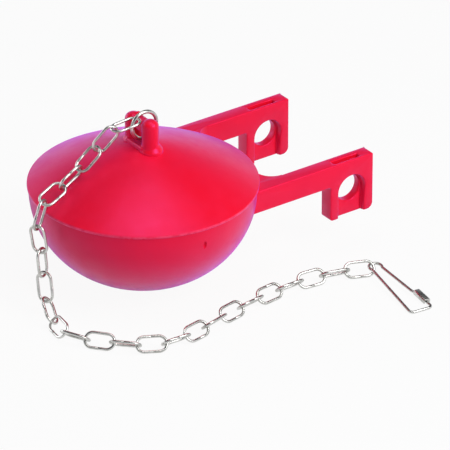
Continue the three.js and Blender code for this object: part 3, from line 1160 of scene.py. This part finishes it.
@dataclass
class SpringClip:
    """The clip at the chain's end: one bent wire and the sheet catch over its tip."""

    wire: float = 1.1
    eye_radius: float = 2.5
    eye_half_opening: float = 62.0
    length: float = 32.2
    width: float = 9.0
    corner: float = 1.6
    return_length: float = 8.0
    catch_length: float = 7.4
    catch_wall: float = 0.5
    catch_start: float = 21.2
    catch_lip: float = 0.1
    catch_round: float = 0.7
    catch_edge: float = 0.08
    chamfer: float = 0.12
    clearance: float = 0.3
    strand_gap: float = 2.3
    strand_run: float = 2.0
    place: tuple = (51.55, 48.94, 2.87)
    heading: float = -5.5
    tilt: float = 4.1233

    @property
    def half(self) -> float:
        """Half the clip's width, between the middles of its wires."""
        return self.width / 2

    def loop(self) -> bpy.types.Object:
        """The wire, from the end that is caught, round the eye and back to the hook's tip."""
        half, tight = self.half, self.corner / 2
        opening = math.radians(self.eye_half_opening)
        leave = (self.eye_radius * math.cos(opening), -self.eye_radius * math.sin(opening))
        wire = Wire("clip_wire", self.wire, (self.length - self.return_length, half), 0)
        wire.straight(self.return_length - self.corner).bend(self.corner, -90, 10)
        wire.straight(self.width - 2 * self.corner).bend(self.corner, -90, 10)
        wire.reach(leave, tight, 5).face(-90 - self.eye_half_opening, tight, 5)
        wire.bend(self.eye_radius, 2 * self.eye_half_opening - 360, 30)
        wire.reach((self.catch_start - self.strand_run, half - self.strand_gap / 2), tight, 5)
        wire.reach((self.catch_start + self.catch_wall + self.wire, half), self.corner, 4)
        return wire.close(self.chamfer)

    def catch(self) -> bpy.types.Object:
        """The sheet folded over the caught end: a channel that is open below."""
        inner = self.wire / 2 + self.clearance
        outer = inner + self.catch_wall
        lip = self.catch_lip - self.wire / 2
        ends = (self.catch_start, self.catch_start + self.catch_length)
        sheet = cube("catch", (ends[0], self.half - outer, lip), (ends[1], self.half + outer, outer))
        with editing(sheet):
            edges = ((self.half - outer, outer), (self.half + outer, outer))
            grip(sheet, Grip.EDGES, lambda e: edge_along(e, 0, *edges))
            bpy.ops.mesh.bevel(offset=self.catch_round, segments=6, affect="EDGES")
        room = cube(
            "catch_room",
            (ends[0] + self.catch_wall, self.half - inner, lip - 1),
            (ends[1] + 1, self.half + inner, inner),
        )
        combine(sheet, room, Join.CUT)
        soften(sheet, self.catch_edge, 2, 40)
        return sheet

    def stand(self) -> Matrix:
        """The clip's turn and place, in metres."""
        aside = Matrix.Rotation(math.radians(self.heading), 4, "Z")
        down = Matrix.Rotation(math.radians(self.tilt), 4, "Y")
        return Matrix.Translation(Vector(self.place) * MM) @ aside @ down @ Matrix.Scale(MM, 4)

    def build(self) -> bpy.types.Object:
        """Models the clip.

        Returns:
            The wire and its catch as one piece, in metres.
        """
        piece = merge([self.loop(), self.catch()])
        piece.name = "wire_clip"
        piece.data.transform(self.stand())
        return piece


@dataclass(frozen=True)
class Lamp:
    """A square soft lamp that faces the object: its place, the length of its sides and its watts."""

    name: str
    place: tuple
    size: float
    power: float
    colour: tuple = (1, 1, 1)
    aim: tuple = (0, 0, 0.03)

    def hang(self) -> None:
        """Adds the lamp to the scene."""
        data = bpy.data.lights.new(self.name, "AREA")
        data.shape = "SQUARE"
        data.size = self.size
        data.energy = self.power
        data.color = self.colour
        lamp = bpy.data.objects.new(self.name, data)
        ahead = Vector(self.aim) - Vector(self.place)
        turn = ahead.to_track_quat("-Z", "Y").to_matrix().to_4x4()
        lamp.matrix_world = Matrix.Translation(self.place) @ turn
        bpy.context.scene.collection.objects.link(lamp)


@dataclass
class Studio:
    """The pale floor, the soft lamps, the white surroundings and the camera."""

    image: float = 450.0
    focal: float = 5557.6
    sensor: float = 36.0
    azimuth: float = 54.45
    elevation: float = 28.89
    distance: float = 2.05
    aim: tuple = (0.0, -0.02045, 0.0382)
    aim_pixel: tuple = (143.17, 181.76)
    clip: tuple = (0.02, 20)
    lamps: tuple = (
        Lamp("key", (0.5756, 0.2032, 0.5433), 0.5, 5.2),
        Lamp("overhead", (0.05, 0, 0.9), 0.5, 2.5),
        Lamp("rim", (-0.5335, -0.2948, 0.1551), 0.4, 1.2, (0.97, 0.97, 1)),
    )
    floor_size: float = 6
    floor_drop: float = 0.0002
    floor_colour: tuple = (0.62, 0.62, 0.62)
    floor_glow: float = 0.93
    low_sky: float = 0.95
    high_sky: float = 0.07
    sky_band: tuple = (0.10, 0.42)
    sky: tuple = (0.93, 0.95, 1.0)

    def axes(self) -> tuple:
        """The camera's right, up and back directions."""
        a, e = math.radians(self.azimuth), math.radians(self.elevation)
        back = Vector((math.sin(a) * math.cos(e), -math.cos(a) * math.cos(e), math.sin(e)))
        right = Vector((math.cos(a), math.sin(a), 0))
        return right, back.cross(right), back

    def camera(self) -> None:
        """Puts the camera where the photograph was taken from."""
        right, up, back = self.axes()
        across = (self.aim_pixel[0] - self.image / 2) / self.focal * self.distance
        above = (self.image / 2 - self.aim_pixel[1]) / self.focal * self.distance
        place = Vector(self.aim) + back * self.distance - right * across - up * above
        data = bpy.data.cameras.new("camera")
        data.sensor_width = self.sensor
        data.lens = self.focal * self.sensor / self.image
        data.clip_start, data.clip_end = self.clip
        camera = bpy.data.objects.new("camera", data)
        turn = Matrix((right, up, back)).transposed().to_4x4()
        camera.matrix_world = Matrix.Translation(place) @ turn
        bpy.context.scene.collection.objects.link(camera)
        bpy.context.scene.camera = camera

    @staticmethod
    def seen(recipe: Recipe, *rays: str) -> Strand:
        """One for a ray of any of these kinds, and nothing for the others."""
        path = recipe.add("ShaderNodeLightPath")
        kinds = [Strand(recipe, path.socket.node.outputs[ray]) for ray in rays]
        total = kinds[0]
        for kind in kinds[1:]:
            total = total + kind
        return recipe.add("ShaderNodeClamp", {}, {"Value": total})

    def floor(self) -> None:
        """Lays the pale floor under the object."""
        bpy.ops.object.select_all(action="DESELECT")
        bpy.ops.mesh.primitive_plane_add(size=self.floor_size, location=(0, 0, -self.floor_drop))
        floor = bpy.context.object
        floor.name = "floor"
        recipe = Recipe.material("pale_floor")
        seen = self.seen(recipe, "Is Camera Ray", "Is Glossy Ray", "Is Transmission Ray")
        soft = recipe.add("ShaderNodeBsdfDiffuse", {}, {"Color": (*self.floor_colour, 1)})
        glow = recipe.add("ShaderNodeEmission", {}, {"Color": (1, 1, 1, 1), "Strength": 1.0})
        recipe.close(recipe.add("ShaderNodeMixShader", {}, {0: seen * self.floor_glow, 1: soft, 2: glow}))
        floor.data.materials.append(recipe.owner)

    def surroundings(self) -> None:
        """Makes a world that is white behind the object and softer above it."""
        world = bpy.data.worlds.new("surroundings")
        bpy.context.scene.world = world
        recipe = Recipe(world)
        place = recipe.add("ShaderNodeTexCoord", output="Generated")
        split = recipe.add("ShaderNodeSeparateXYZ", {}, {0: place}, "Z")
        strength = recipe.spread(split, *self.sky_band, self.low_sky, self.high_sky)
        lit = recipe.add("ShaderNodeBackground", {}, {"Color": (*self.sky, 1), "Strength": strength})
        white = recipe.add("ShaderNodeBackground", {}, {"Color": (1, 1, 1, 1), "Strength": 1.0})
        seen = self.seen(recipe, "Is Camera Ray", "Is Transmission Ray")
        mixed = recipe.add("ShaderNodeMixShader", {}, {0: seen, 1: lit, 2: white})
        recipe.close(mixed, "ShaderNodeOutputWorld")

    def build(self) -> None:
        """Sets up everything round the object."""
        bpy.context.scene.view_settings.view_transform = "Standard"
        self.camera()
        self.floor()
        self.surroundings()
        for lamp in self.lamps:
            lamp.hang()


def dress(piece: bpy.types.Object, node: str, material: bpy.types.Material) -> None:
    """Gives a piece its finish and ties it to the frame.

    Args:
        piece: The finished piece.
        node: The node of the frame that it stands for.
        material: Its finish.
    """
    piece.data.materials.clear()
    piece.data.materials.append(material)
    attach(piece, "root")
    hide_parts(node)
    LOG.info("%s stands for %s: %d faces", piece.name, node, len(piece.data.polygons))


def main() -> None:
    """Builds the studio and every piece, in order."""
    logging.basicConfig(level=logging.INFO, format="%(message)s")
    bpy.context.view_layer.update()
    Studio().build()
    rubber, steel = RedRubber().make(), BrightSteel().make()
    dress(Moulding().build(), "flapper_body", rubber)
    for piece, node in [*Chain().build(), (SpringClip().build(), "spring_clip")]:
        smooth(piece, WIRE_EDGE)
        dress(piece, node, steel)


if __name__ == "__main__":
    main()
